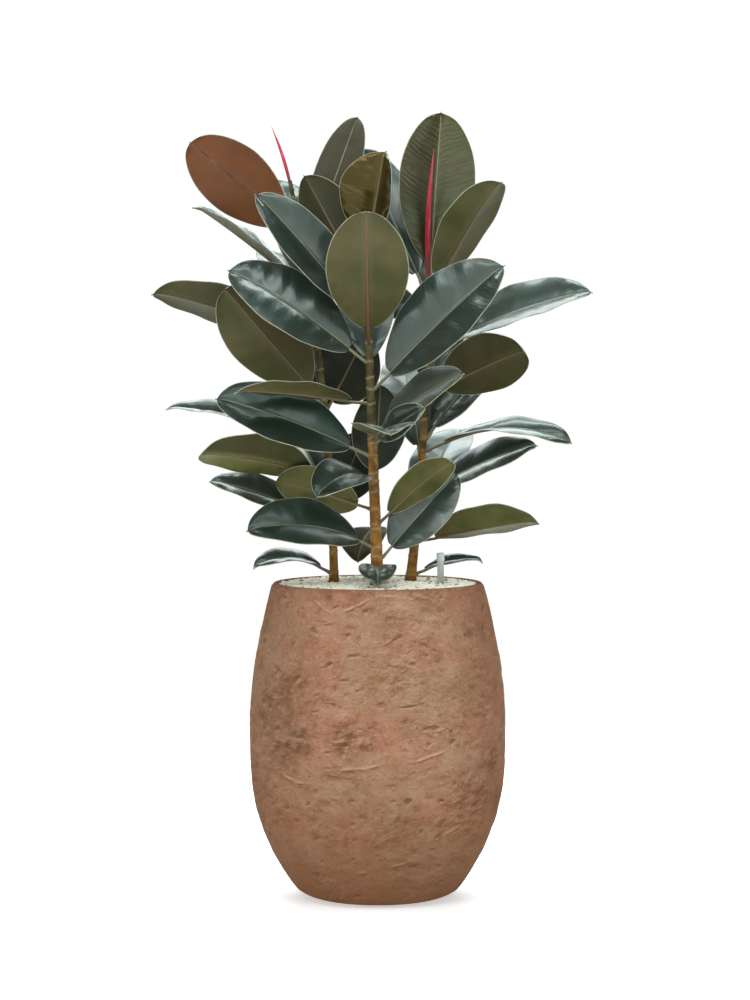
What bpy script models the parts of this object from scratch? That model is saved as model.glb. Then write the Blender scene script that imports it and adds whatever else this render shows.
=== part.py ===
"""A potted rubber plant: three stems with single large leaves in an egg-shaped planter.

Metres, +Z up. The origin is the middle of the planter's flat underside, and -Y is its front.
"""

import math
from collections import namedtuple

import bmesh
import bpy
from mathutils import Vector

PLANT = "potted_rubber_plant"
UP = Vector((0, 0, 1))
GAP = 0.0003

# Planter, turned about Z
POT_HEIGHT = 0.461
POT_WIDEST_HEIGHT = 0.234
POT_WIDEST_RADIUS = 0.1862
RIM_NARROWING = 0.180
RIM_POWER = 2.0
FOOT_SPAN = 0.225
FOOT_NARROWING = 0.391
FOOT_POWER = 2.5
FOOT_ROUND = 0.036
FOOT_ROUND_HEIGHT = 0.018
FOOT_LEVELS = (0.011, 0.006, 0.0025, 0.0006, 0)
POT_WALL = 0.009
POT_FLOOR = 0.018
LIP_RADIUS = 0.0045
LIP_ANGLES = (150, 90, 30)
POT_RINGS = 12
POT_STEPS = 48
POLE_MERGE = 0.0001

# Filling
GRAVEL_BELOW_RIM = 0.003
GRAVEL_DEPTH = 0.022
GRAVEL_TOP = POT_HEIGHT - GRAVEL_BELOW_RIM
SOIL_TOP = GRAVEL_TOP - GRAVEL_DEPTH - GAP
FILL_RINGS = 8

# Water gauge that stands in the gravel
GAUGE_PLACE = (0.091, -0.012)
GAUGE_RADIUS = 0.0048
GAUGE_CAP_RADIUS = 0.0058
GAUGE_CAP_HEIGHT = 0.012
GAUGE_HEIGHT = 0.046
GAUGE_SIDES = 16

# Heights in the leaf lists start here, where the planter's sides turn under
LIST_LEVEL = POT_HEIGHT - 0.452

# Stems: plan positions are quadratic in the share of the height
Stem = namedtuple("Stem", "foot lean bend top foot_radius top_radius")
STEMS = {
    "left": Stem((-0.064, 0.030), (-0.006, 0.004), (-0.058, 0.000), 1.044, 0.0064, 0.0030),
    "middle": Stem((0.000, -0.025), (-0.019, 0.000), (0.000, 0.006), 0.974, 0.0090, 0.0036),
    "right": Stem((0.048, 0.060), (0.052, 0.000), (-0.026, 0.004), 0.902, 0.0073, 0.0034),
}
STEM_FOOT = GRAVEL_TOP + GAP
STEM_RINGS = 18
FLARE = 0.32
FLARE_HEIGHT = 0.010
FLARE_STEPS = (0, 0.4, 1)
FLARE_END = 3
TUBE_SMOOTHNESS = 4
WELD = 0.00001

# Red sheaths round the two growing tips that show
Sheath = namedtuple("Sheath", "tip radius bow")
SHEATHS = {
    "left": Sheath((-0.154, 0.026, 1.121), 0.0025, 0.002),
    "right": Sheath((0.082, 0.055, 1.090), 0.0042, -0.004),
}
SHEATH_RINGS = 9
SHEATH_TIP = 0.0007
SHEATH_GAP = 0.00045
SHEATH_FOOT_SHARE = 0.3
SHEATH_SWELL = 0.8

# Leaves: a round stalk, then a blade that is folded a little along its midrib
STALK_RADIUS = 0.0024
STALK_SHARE = 0.12
STALK_GAP = 0.0004
STALK_CORNER = 30
RIB_TAPER = 0.6
RIB_OVER_EDGE = 1.1
BLADE_STATIONS = (0.03, 0.10, 0.22, 0.38, 0.55, 0.71, 0.85, 0.94, 0.985, 1.0)
WIDEST_SHIFT = 1.10
END_ROUNDNESS = 0.51
LEAST_THICKNESS = 0.0105
TIP_HALF_WIDTH = 0.0016
DEFAULT_FOLD = 12

Leaf = namedtuple("Leaf", "name stem height tip width faces arch twist fold")


def leaf(stem, height, tip, width, faces, arch=0.05, twist=0, fold=DEFAULT_FOLD):
    """A row of the leaf list. Its name is given once the list is complete."""
    place = Vector(tip) + UP * LIST_LEVEL
    return Leaf("", stem, height + LIST_LEVEL, place, width, Vector(faces), arch, twist, fold)


# Height of the joint on the stem, place of the tip, width, and the way the upper face looks
MIDDLE_LEAVES = (
    leaf("middle", 0.800, (-0.016, -0.190, 0.988), 0.118, (0, 0, 1), arch=-0.06, fold=8),
    leaf("middle", 0.930, (0.009, -0.056, 1.074), 0.098, (-0.75, -1, 0.2), arch=0.0, fold=30),
    leaf("middle", 0.733, (0.179, -0.090, 0.912), 0.112, (0, -1, 0.75), arch=0.03, fold=20),
    leaf("middle", 0.830, (-0.174, -0.080, 1.013), 0.075, (0, -1, 0.6), fold=25),
    leaf("middle", 0.772, (-0.215, -0.050, 0.906), 0.100, (0, -1, 0.7), arch=0.06),
    leaf("middle", 0.885, (-0.106, 0.026, 1.042), 0.084, (0.1, 1, 0.3), arch=0.0),
    leaf("middle", 0.712, (-0.204, -0.130, 0.733), 0.075, (0, 0.35, 1), arch=0.02),
    leaf("middle", 0.672, (0.122, -0.070, 0.759), 0.075, (0, -0.6, 0.8)),
    leaf("middle", 0.637, (-0.233, -0.058, 0.722), 0.100, (0, -1, 0.8)),
    leaf("middle", 0.655, (0.065, -0.102, 0.708), 0.045, (0, -1, 0.5)),
    leaf("middle", 0.662, (0.018, -0.235, 0.678), 0.090, (0, 0, 1), arch=0.04),
    leaf("middle", 0.600, (-0.088, -0.125, 0.584), 0.075, (0, -0.6, 0.8), arch=0.18),
    leaf("middle", 0.540, (0.107, -0.125, 0.636), 0.055, (0, 1, 0.6)),
    leaf("middle", 0.560, (-0.149, 0.000, 0.600), 0.070, (0, 1, 0.3)),
    leaf("middle", 0.490, (0.115, -0.036, 0.612), 0.082, (0, -1, 0.5)),
    leaf("middle", 0.505, (-0.188, -0.110, 0.535), 0.092, (0, -0.8, 0.8), arch=0.13),
    leaf("middle", 0.475, (0.000, -0.115, 0.457), 0.055, (0, -0.2, 1), arch=0.12),
    leaf("middle", 0.530, (-0.030, 0.120, 0.475), 0.070, (0, 0, 1), arch=0.10),
    leaf("middle", 0.600, (0.004, 0.110, 0.735), 0.080, (0.1, 1, 0.2), arch=0.02),
)
LEFT_LEAVES = (
    leaf("left", 0.955, (-0.272, -0.020, 1.090), 0.100, (0, 1, 0.2), arch=0.03, fold=8),
    leaf("left", 0.920, (-0.029, 0.080, 1.132), 0.064, (0, -1, 0.2)),
    leaf("left", 0.875, (-0.267, 0.020, 0.999), 0.070, (0, -0.1, 1), arch=0.02, fold=22),
    leaf("left", 0.790, (-0.329, 0.022, 0.873), 0.092, (0, 0.75, 1)),
    leaf("left", 0.715, (-0.222, -0.030, 0.880), 0.112, (0, 1, 0.1), arch=0.02),
    leaf("left", 0.650, (-0.309, 0.030, 0.706), 0.066, (0, -0.30, 1), fold=15),
    leaf("left", 0.600, (-0.258, -0.060, 0.641), 0.100, (0, 0.8, 1)),
    leaf("left", 0.535, (-0.246, 0.030, 0.600), 0.070, (0, -0.6, 1)),
    leaf("left", 0.464, (-0.183, 0.000, 0.474), 0.050, (0, -0.40, 1), arch=0.17),
    leaf("left", 0.700, (-0.015, 0.125, 0.815), 0.100, (0, 1, 0.2), arch=0.02),
    leaf("left", 0.555, (-0.020, 0.120, 0.665), 0.085, (0, 1, 0.1), arch=0.02),
)
RIGHT_LEAVES = (
    leaf("right", 0.885, (0.094, 0.120, 1.141), 0.113, (0.1, -1, 0.3), arch=0.0),
    leaf("right", 0.872, (-0.026, 0.130, 1.088), 0.085, (0, -1, 0.3), arch=0.0),
    leaf("right", 0.860, (0.178, -0.030, 1.034), 0.076, (-0.3, 1, 0.7), fold=24),
    leaf("right", 0.856, (-0.035, 0.115, 0.845), 0.070, (0, -1, 0.6)),
    leaf("right", 0.835, (0.110, 0.220, 1.000), 0.080, (0, -1, 0.3)),
    leaf("right", 0.787, (0.313, 0.040, 0.876), 0.094, (0, -0.65, 1), fold=18),
    leaf("right", 0.722, (0.214, -0.030, 0.790), 0.096, (0, 1, 0.4)),
    leaf("right", 0.660, (0.165, 0.110, 0.765), 0.070, (0, -0.6, 1)),
    leaf("right", 0.640, (0.286, 0.040, 0.654), 0.060, (0, -0.3, 1), arch=0.13, twist=50),
    leaf("right", 0.575, (0.232, 0.020, 0.653), 0.080, (0, -0.6, 1), fold=8),
    leaf("right", 0.508, (0.235, 0.000, 0.541), 0.088, (0, 0.65, 1), arch=0.02, fold=18),
    leaf("right", 0.460, (0.155, 0.050, 0.480), 0.034, (0, -0.35, 1), arch=0.10),
)

# Leaves at the back, by rule: headings in degrees from +X towards +Y, taken in turn
Hind = namedtuple("Hind", "heights headings")
HIND = {
    "left": Hind((0.57, 0.67, 0.76, 0.85), (126, 114)),
    "middle": Hind((0.75,), (96,)),
    "right": Hind((0.53, 0.62, 0.71), (68, 100)),
}
HIND_LENGTH = 0.235
HIND_WIDTH = 0.088
HIND_RISE = 38
HIND_STEEPENING = 60
HIND_FROM = 0.56

COLOURS = {
    "terracotta": ((0.36, 0.18, 0.11), 0.85),
    "gravel": ((0.62, 0.60, 0.55), 0.80),
    "soil": ((0.05, 0.035, 0.025), 0.95),
    "gauge": ((0.70, 0.74, 0.72), 0.35),
    "bark": ((0.30, 0.16, 0.06), 0.65),
    "sheath": ((0.50, 0.03, 0.05), 0.40),
    "leaf": ((0.03, 0.06, 0.045), 0.30),
}


def empty_scene():
    """Remove whatever the scene holds."""
    for thing in list(bpy.data.objects):
        bpy.data.objects.remove(thing, do_unlink=True)


def material(name):
    """The plain material of one name in COLOURS, made once."""
    found = bpy.data.materials.get(name)
    if found:
        return found
    colour, roughness = COLOURS[name]
    made = bpy.data.materials.new(name)
    made.use_nodes = True
    shader = made.node_tree.nodes["Principled BSDF"]
    shader.inputs["Base Color"].default_value = (*colour, 1)
    shader.inputs["Roughness"].default_value = roughness
    return made


def add(name, mesh, material_name, parts):
    """An object for a mesh, with its material, in the plant's collection."""
    thing = bpy.data.objects.new(name, mesh)
    mesh.materials.append(material(material_name))
    parts.objects.link(thing)
    return thing


def mesh_from(name, points, faces):
    """A mesh from points and faces, with its faces pointing out."""
    mesh = bpy.data.meshes.new(name)
    mesh.from_pydata([tuple(p) for p in points], [], faces)
    shape = bmesh.new()
    shape.from_mesh(mesh)
    bmesh.ops.recalc_face_normals(shape, faces=shape.faces)
    shape.to_mesh(mesh)
    shape.free()
    return mesh


def pot_radius(height):
    """Outer radius of the planter at a height."""
    if height > POT_WIDEST_HEIGHT:
        share = (height - POT_WIDEST_HEIGHT) / (POT_HEIGHT - POT_WIDEST_HEIGHT)
        return POT_WIDEST_RADIUS * (1 - RIM_NARROWING * share**RIM_POWER)
    share = (POT_WIDEST_HEIGHT - height) / FOOT_SPAN
    side = POT_WIDEST_RADIUS * (1 - FOOT_NARROWING * share**FOOT_POWER)
    below = max(1 - height / FOOT_ROUND_HEIGHT, 0)
    return side - FOOT_ROUND * (1 - math.sqrt(1 - below**2))


def spaced(low, high, count):
    """Evenly spaced numbers, both ends included."""
    return [low + (high - low) * i / (count - 1) for i in range(count)]


def turned(name, profile, material_name, parts):
    """A solid turned about Z from (radius, height) points that run down its outer side."""
    mesh = bpy.data.meshes.new(name)
    points = [(radius, 0, height) for radius, height in profile]
    mesh.from_pydata(points, [(i, i + 1) for i in range(len(points) - 1)], [])
    thing = add(name, mesh, material_name, parts)
    screw = thing.modifiers.new("turn", "SCREW")
    screw.steps = POT_STEPS
    screw.render_steps = POT_STEPS
    screw.use_merge_vertices = True
    screw.merge_threshold = POLE_MERGE
    mesh.shade_smooth()
    return thing


def lip():
    """The rim's rounded top, from its inner to its outer side."""
    middle = pot_radius(POT_HEIGHT) - LIP_RADIUS
    turns = [math.radians(angle) for angle in LIP_ANGLES]
    return [
        (middle + LIP_RADIUS * math.cos(a), POT_HEIGHT - LIP_RADIUS * (1 - math.sin(a))) for a in turns
    ]


def inner_radius(height):
    """Radius of the planter's cavity at a height."""
    return pot_radius(height) - POT_WALL


def make_pot(parts):
    """The planter, with its cavity open at the top."""
    high = POT_HEIGHT - 2 * LIP_RADIUS
    levels = spaced(POT_FLOOR, SOIL_TOP, FILL_RINGS)
    inside = [(0, POT_FLOOR), *((inner_radius(h), h) for h in levels), (inner_radius(high), high)]
    levels = [*spaced(high, FOOT_ROUND_HEIGHT, POT_RINGS), *FOOT_LEVELS]
    outside = [(pot_radius(h), h) for h in levels]
    turned("pot", [*inside, *lip(), *outside, (0, 0)], "terracotta", parts)


def make_fillings(parts):
    """The soil in the cavity and the gravel that covers it."""
    levels = spaced(SOIL_TOP, POT_FLOOR, FILL_RINGS)
    side = [(inner_radius(h) - 2 * GAP, h + GAP) for h in levels[1:]]
    top = (inner_radius(SOIL_TOP) - 2 * GAP, SOIL_TOP)
    turned("soil", [(0, SOIL_TOP), top, *side, (0, POT_FLOOR + GAP)], "soil", parts)
    width = inner_radius(GRAVEL_TOP) - 2 * GAP
    foot = SOIL_TOP + GAP
    turned("gravel", [(0, GRAVEL_TOP), (width, GRAVEL_TOP), (width, foot), (0, foot)], "gravel", parts)


def make_gauge(parts):
    """The water gauge: a clear tube with a wider cap."""
    foot = GRAVEL_TOP + GAP
    neck = foot + GAUGE_HEIGHT - GAUGE_CAP_HEIGHT
    top = foot + GAUGE_HEIGHT
    sections = [(foot, GAUGE_RADIUS), (neck, GAUGE_RADIUS)]
    sections += [(neck, GAUGE_CAP_RADIUS), (top, GAUGE_CAP_RADIUS)]
    rings = []
    for height, radius in sections:
        centre = Vector((*GAUGE_PLACE, height))
        turns = [math.tau * i / GAUGE_SIDES for i in range(GAUGE_SIDES)]
        rings.append([centre + Vector((math.cos(a), math.sin(a), 0)) * radius for a in turns])
    points, faces = lofted(rings)
    return add("water_gauge", mesh_from("water_gauge", points, faces), "gauge", parts)


def lofted(rings):
    """Points and faces of a closed loft through rings of equal length."""
    sides = len(rings[0])
    points = [point for ring in rings for point in ring]
    faces = [tuple(range(sides)), tuple(range(len(points) - sides, len(points)))]
    for low in range(0, len(points) - sides, sides):
        for i in range(sides):
            j = (i + 1) % sides
            faces.append((low + i, low + j, low + sides + j, low + sides + i))
    return points, faces


def tube(name, points, radii, material_name, parts):
    """A tapering tube with filled ends, as a welded mesh object."""
    curve = bpy.data.curves.new(name, "CURVE")
    curve.dimensions = "3D"
    curve.fill_mode = "FULL"
    curve.use_fill_caps = True
    curve.bevel_resolution = TUBE_SMOOTHNESS
    curve.bevel_depth = max(radii)
    line = curve.splines.new("POLY")
    line.points.add(len(points) - 1)
    for spot, point, radius in zip(line.points, points, radii):
        spot.co = (*point, 1)
        spot.radius = radius / curve.bevel_depth
    guide = bpy.data.objects.new(name + "_route", curve)
    parts.objects.link(guide)
    graph = bpy.context.evaluated_depsgraph_get()
    mesh = bpy.data.meshes.new_from_object(guide.evaluated_get(graph))
    bpy.data.objects.remove(guide, do_unlink=True)
    shape = bmesh.new()
    shape.from_mesh(mesh)
    bmesh.ops.remove_doubles(shape, verts=shape.verts, dist=WELD)
    bmesh.ops.recalc_face_normals(shape, faces=shape.faces)
    shape.to_mesh(mesh)
    shape.free()
    mesh.shade_smooth()
    return add(name, mesh, material_name, parts)


def stem_place(stem, height):
    """The middle of a stem at a height."""
    form = STEMS[stem]
    share = (height - STEM_FOOT) / (form.top - STEM_FOOT)
    x, y = (f + l * share + b * share**2 for f, l, b in zip(form.foot, form.lean, form.bend))
    return Vector((x, y, height))


def stem_radius(stem, height):
    """The radius of a stem at a height, with the flare at its foot."""
    form = STEMS[stem]
    share = (height - STEM_FOOT) / (form.top - STEM_FOOT)
    plain = form.foot_radius + (form.top_radius - form.foot_radius) * share
    return plain * (1 + FLARE * math.exp(-(height - STEM_FOOT) / FLARE_HEIGHT))


def make_stem(stem, parts):
    """A stem from its flat cut on the gravel to its growing tip."""
    top = STEMS[stem].top
    lowest = [STEM_FOOT + step * FLARE_HEIGHT for step in FLARE_STEPS]
    heights = lowest + spaced(STEM_FOOT + FLARE_END * FLARE_HEIGHT, top, STEM_RINGS)
    points = [stem_place(stem, height) for height in heights]
    points[0].xy = points[1].xy
    radii = [stem_radius(stem, height) for height in heights]
    return tube(stem + "_stem", points, radii, "bark", parts)


def make_sheath(stem, parts):
    """The slim red sheath on a growing tip."""
    form = SHEATHS[stem]
    foot = stem_place(stem, STEMS[stem].top) + SHEATH_GAP * UP
    way = Vector(form.tip) - foot
    points = []
    radii = []
    for share in spaced(0, 1, SHEATH_RINGS):
        phase = SHEATH_FOOT_SHARE + (1 - SHEATH_FOOT_SHARE) * share
        swell = math.sin(math.pi * phase) ** SHEATH_SWELL if share < 1 else 0
        bow = Vector((form.bow * math.sin(math.pi * share), 0, 0))
        points.append(foot + way * share + bow)
        radii.append(max(form.radius * swell, SHEATH_TIP))
    return tube(stem + "_sheath", points, radii, "sheath", parts)


def across(line, way):
    """The part of a direction that is square to a line, as a unit vector."""
    return (way - line * way.dot(line)).normalized()


def leaf_foot(row):
    """Where a leaf's stalk meets its stem, and the level direction in which it leaves."""
    place = stem_place(row.stem, row.height)
    out = Vector((*(row.tip - place).xy, 0)).normalized()
    return place + out * (stem_radius(row.stem, row.height) + STALK_GAP), out


def leaf_frame(row, share):
    """The midrib's place, its side direction and the upper face's direction at a share of its length."""
    foot, out = leaf_foot(row)
    chord = row.tip - foot
    line = chord.normalized()
    face = across(line, row.faces)
    front = line.cross(face)
    if front.y > 0:
        front = -front
    place = foot + chord * share + face * row.arch * chord.length * 4 * share * (1 - share)
    tangent = (chord + face * row.arch * chord.length * 4 * (1 - 2 * share)).normalized()
    turn = math.radians(row.twist) * (share - 0.5)
    face = across(tangent, face * math.cos(turn) + front * math.sin(turn))
    if share == 0:
        tangent = out
        face = UP
    return place, tangent.cross(face), face


def half_width(row, share):
    """Half the blade's width at a share of the blade's length."""
    outline = math.sin(math.pi * share**WIDEST_SHIFT) ** END_ROUNDNESS if share < 1 else 0
    return max(row.width / 2 * outline, TIP_HALF_WIDTH)


def leaf_ring(row, share, half, rib, edge, lift):
    """Six points round a leaf: left edge, rib and right edge on top, then the same below."""
    place, side, face = leaf_frame(row, share)
    top = [place - side * half + face * (lift + edge / 2), place + face * rib / 2]
    top.append(place + side * half + face * (lift + edge / 2))
    below = [place + side * half + face * (lift - edge / 2), place - face * rib / 2]
    below.append(place - side * half + face * (lift - edge / 2))
    return top + below


def leaf_shape(row):
    """Points and faces of one leaf as a closed loft."""
    round_half = STALK_RADIUS * math.cos(math.radians(STALK_CORNER))
    rings = []
    for share in (0, STALK_SHARE / 3, STALK_SHARE):
        rings.append(leaf_ring(row, share, round_half, 2 * STALK_RADIUS, STALK_RADIUS, 0))
    edge = (row.tip - stem_place(row.stem, row.height)).length * LEAST_THICKNESS
    for station in BLADE_STATIONS:
        half = half_width(row, station)
        rib = max(2 * STALK_RADIUS * (1 - RIB_TAPER * station), RIB_OVER_EDGE * edge)
        lift = half * math.tan(math.radians(row.fold))
        share = STALK_SHARE + (1 - STALK_SHARE) * station
        rings.append(leaf_ring(row, share, half, rib, edge, lift))
    return lofted(rings)


def make_leaf(row, parts):
    """One leaf."""
    points, faces = leaf_shape(row)
    return add(row.name, mesh_from(row.name, points, faces), "leaf", parts)


def hind_leaves(stem):
    """Rows for the leaves at the back of one stem, which rise more steeply further up."""
    rule = HIND[stem]
    rows = []
    for i, height in enumerate(rule.heights):
        rise = math.radians(HIND_RISE + HIND_STEEPENING * (height - HIND_FROM))
        heading = math.radians(rule.headings[i % len(rule.headings)])
        level = Vector((math.cos(heading), math.sin(heading), 0))
        way = level * math.cos(rise) + UP * math.sin(rise)
        tip = stem_place(stem, height + LIST_LEVEL) + way * HIND_LENGTH - UP * LIST_LEVEL
        rows.append(leaf(stem, height, tip, HIND_WIDTH, UP, arch=0.08))
    return rows


def named_leaves():
    """All leaves, each numbered on its stem: those at the front and sides, then those at the back."""
    rows = [*MIDDLE_LEAVES, *LEFT_LEAVES, *RIGHT_LEAVES]
    for stem in STEMS:
        rows += hind_leaves(stem)
    counts = dict.fromkeys(STEMS, 0)
    named = []
    for row in rows:
        counts[row.stem] += 1
        named.append(row._replace(name=f"{row.stem}_leaf_{counts[row.stem]:02d}"))
    return named


def main():
    """Build the plant in its own collection."""
    empty_scene()
    parts = bpy.data.collections.new(PLANT)
    bpy.context.scene.collection.children.link(parts)
    make_pot(parts)
    make_fillings(parts)
    make_gauge(parts)
    for stem in STEMS:
        make_stem(stem, parts)
    for stem in SHEATHS:
        make_sheath(stem, parts)
    for row in named_leaves():
        make_leaf(row, parts)


main()
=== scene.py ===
import math
import random
from collections import namedtuple
from functools import cache

import bmesh
import bpy
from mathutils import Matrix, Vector, noise


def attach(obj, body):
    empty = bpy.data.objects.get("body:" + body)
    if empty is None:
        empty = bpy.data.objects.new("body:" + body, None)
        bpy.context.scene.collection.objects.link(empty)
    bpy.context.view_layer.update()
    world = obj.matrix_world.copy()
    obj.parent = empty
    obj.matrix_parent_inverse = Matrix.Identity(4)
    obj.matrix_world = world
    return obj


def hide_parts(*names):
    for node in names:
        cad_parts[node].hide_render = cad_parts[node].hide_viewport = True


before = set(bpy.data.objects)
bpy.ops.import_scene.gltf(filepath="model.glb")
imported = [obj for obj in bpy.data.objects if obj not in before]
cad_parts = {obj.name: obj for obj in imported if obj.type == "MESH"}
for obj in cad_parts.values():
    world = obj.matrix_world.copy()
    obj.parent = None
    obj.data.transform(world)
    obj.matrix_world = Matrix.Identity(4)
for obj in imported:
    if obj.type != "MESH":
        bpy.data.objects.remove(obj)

# Without a seed, noise_vector takes one from the clock and the planter differs in each run.
noise.seed_set(1)

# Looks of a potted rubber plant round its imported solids: leaves, bark, pebbles and a clay planter.
# Metres, +Z up, origin in the middle of the planter's underside, -Y is the front.

UP = Vector((0, 0, 1))
BODY = "root"
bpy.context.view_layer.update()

# The planter's form, as the solids have it
POT_HEIGHT = 0.461
POT_WIDEST_HEIGHT = 0.234
POT_WIDEST_RADIUS = 0.1862
RIM_NARROWING = 0.180
FOOT_SPAN = 0.225
FOOT_NARROWING = 0.391
FOOT_POWER = 2.5
FOOT_ROUND = 0.036
FOOT_ROUND_HEIGHT = 0.018
POT_WALL = 0.009
LIP_RADIUS = 0.0045
GRAVEL_TOP = 0.458
STEM_FOOT = 0.4583
GAUGE_PLACE = (0.091, -0.012)
GAUGE_RADIUS = 0.0048
GAUGE_CAP_RADIUS = 0.0058
GAUGE_CAP_HEIGHT = 0.012
GAUGE_HEIGHT = 0.046
GAUGE_SIDES = 32

# Heights in the leaf lists start here
LIST_LEVEL = 0.009

# Stems and sheaths, as the solids have them
Stem = namedtuple("Stem", "foot lean bend top foot_radius top_radius")
STEMS = {
    "left": Stem((-0.064, 0.030), (-0.006, 0.004), (-0.058, 0.000), 1.044, 0.0064, 0.0030),
    "middle": Stem((0.000, -0.025), (-0.019, 0.000), (0.000, 0.006), 0.974, 0.0090, 0.0036),
    "right": Stem((0.048, 0.060), (0.052, 0.000), (-0.026, 0.004), 0.902, 0.0073, 0.0034),
}
FLARE = 0.32
FLARE_HEIGHT = 0.010
Sheath = namedtuple("Sheath", "tip radius bow")
SHEATHS = {
    "left": Sheath((-0.154, 0.026, 1.121), 0.0025, 0.002),
    "right": Sheath((0.082, 0.055, 1.090), 0.0042, -0.004),
}

# Leaves
STALK_RADIUS = 0.0024
STALK_SHARE = 0.12
STALK_GAP = 0.0004
WIDEST_SHIFT = 1.10
END_ROUNDNESS = 0.51
Leaf = namedtuple("Leaf", "name stem height tip width faces arch twist fold look")
# How a leaf looks, unless its row says otherwise
LOOK = {"top": "mature", "under": "olive", "rib": "tan", "veins": 1.0, "ripple": 0.8, "shade": 0}


def leaf(height, tip, width, faces, arch=0.05, twist=0, fold=12, **look):
    """A row of the leaf list. Its name and stem are given once the list is complete."""
    place = Vector(tip) + UP * LIST_LEVEL
    return Leaf("", "", height + LIST_LEVEL, place, width, Vector(faces), arch, twist, fold, LOOK | look)


# Height of the joint on the stem, place of the tip, width, and the way the upper face looks
MIDDLE_LEAVES = (
    leaf(0.800, (-0.016, -0.190, 0.988), 0.118, (0, 0, 1), arch=-0.06, fold=8,
         rib="red", ripple=0.3),
    leaf(0.930, (0.009, -0.056, 1.074), 0.098, (-0.75, -1, 0.2), arch=0.0, fold=30,
         top="golden", ripple=2.4),
    leaf(0.733, (0.179, -0.090, 0.912), 0.112, (0, -1, 0.75), arch=0.03, fold=20,
         ripple=1.9, veins=1.8),
    leaf(0.830, (-0.174, -0.080, 1.013), 0.075, (0, -1, 0.6), fold=25, ripple=1.0),
    leaf(0.772, (-0.215, -0.050, 0.906), 0.100, (0, -1, 0.7), arch=0.06, ripple=2.2),
    leaf(0.885, (-0.106, 0.026, 1.042), 0.084, (0.1, 1, 0.3), arch=0.0, under="dark"),
    leaf(0.712, (-0.204, -0.130, 0.733), 0.075, (0, 0.35, 1), arch=0.02),
    leaf(0.672, (0.122, -0.070, 0.759), 0.075, (0, -0.6, 0.8), top="dusky"),
    leaf(0.637, (-0.233, -0.058, 0.722), 0.100, (0, -1, 0.8), top="shade_darkened"),
    leaf(0.655, (0.065, -0.102, 0.708), 0.045, (0, -1, 0.5)),
    leaf(0.662, (0.018, -0.235, 0.678), 0.090, (0, 0, 1), arch=0.04),
    leaf(0.600, (-0.088, -0.125, 0.584), 0.075, (0, -0.6, 0.8), arch=0.18, top="shade_darkened"),
    leaf(0.540, (0.107, -0.125, 0.636), 0.055, (0, 1, 0.6), under="fresh"),
    leaf(0.560, (-0.149, 0.000, 0.600), 0.070, (0, 1, 0.3), under="fresh"),
    leaf(0.490, (0.115, -0.036, 0.612), 0.082, (0, -1, 0.5), veins=2.4, ripple=1.2),
    leaf(0.505, (-0.188, -0.110, 0.535), 0.092, (0, -0.8, 0.8), arch=0.13, top="shade_darkened"),
    leaf(0.475, (0.000, -0.115, 0.457), 0.055, (0, -0.2, 1), arch=0.12),
    leaf(0.530, (-0.030, 0.120, 0.475), 0.070, (0, 0, 1), arch=0.10, under="dark"),
    leaf(0.600, (0.004, 0.110, 0.735), 0.080, (0.1, 1, 0.2), arch=0.02, under="shaded"),
)
LEFT_LEAVES = (
    leaf(0.955, (-0.272, -0.020, 1.090), 0.100, (0, 1, 0.2), arch=0.03, fold=8,
         under="copper", rib="wine", ripple=0.3),
    leaf(0.920, (-0.029, 0.080, 1.132), 0.064, (0, -1, 0.2), top="ashen"),
    leaf(0.875, (-0.267, 0.020, 0.999), 0.070, (0, -0.1, 1), arch=0.02, fold=22),
    leaf(0.790, (-0.329, 0.022, 0.873), 0.092, (0, 0.75, 1), under="umber"),
    leaf(0.715, (-0.222, -0.030, 0.880), 0.112, (0, 1, 0.1), arch=0.02),
    leaf(0.650, (-0.309, 0.030, 0.706), 0.066, (0, -0.30, 1), fold=15),
    # Painted light over this underside, with painted shade on its upper half
    leaf(0.600, (-0.258, -0.060, 0.641), 0.100, (0, 0.8, 1), under="lightened", shade=-0.80),
    leaf(0.535, (-0.246, 0.030, 0.600), 0.070, (0, -0.6, 1)),
    leaf(0.464, (-0.183, 0.000, 0.474), 0.050, (0, -0.40, 1), arch=0.17),
    leaf(0.700, (-0.015, 0.125, 0.815), 0.100, (0, 1, 0.2), arch=0.02, under="shaded"),
    leaf(0.555, (-0.020, 0.120, 0.665), 0.085, (0, 1, 0.1), arch=0.02, under="shaded"),
)
RIGHT_LEAVES = (
    leaf(0.885, (0.094, 0.120, 1.141), 0.113, (0.1, -1, 0.3), arch=0.0, top="bronze",
         veins=2.6, ripple=1.4, shade=-0.50),
    leaf(0.872, (-0.026, 0.130, 1.088), 0.085, (0, -1, 0.3), arch=0.0, ripple=0.3),
    leaf(0.860, (0.178, -0.030, 1.034), 0.076, (-0.3, 1, 0.7), fold=24),
    leaf(0.856, (-0.035, 0.115, 0.845), 0.070, (0, -1, 0.6)),
    leaf(0.835, (0.110, 0.220, 1.000), 0.080, (0, -1, 0.3)),
    leaf(0.787, (0.313, 0.040, 0.876), 0.094, (0, -0.65, 1), fold=18, ripple=1.6),
    leaf(0.722, (0.214, -0.030, 0.790), 0.096, (0, 1, 0.4), under="umber"),
    leaf(0.660, (0.165, 0.110, 0.765), 0.070, (0, -0.6, 1)),
    leaf(0.640, (0.286, 0.040, 0.654), 0.060, (0, -0.3, 1), arch=0.13, twist=50),
    leaf(0.575, (0.232, 0.020, 0.653), 0.080, (0, -0.6, 1), fold=8),
    leaf(0.508, (0.235, 0.000, 0.541), 0.088, (0, 0.65, 1), arch=0.02, fold=18, under="fresh"),
    leaf(0.460, (0.155, 0.050, 0.480), 0.034, (0, -0.35, 1), arch=0.10),
)

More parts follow.
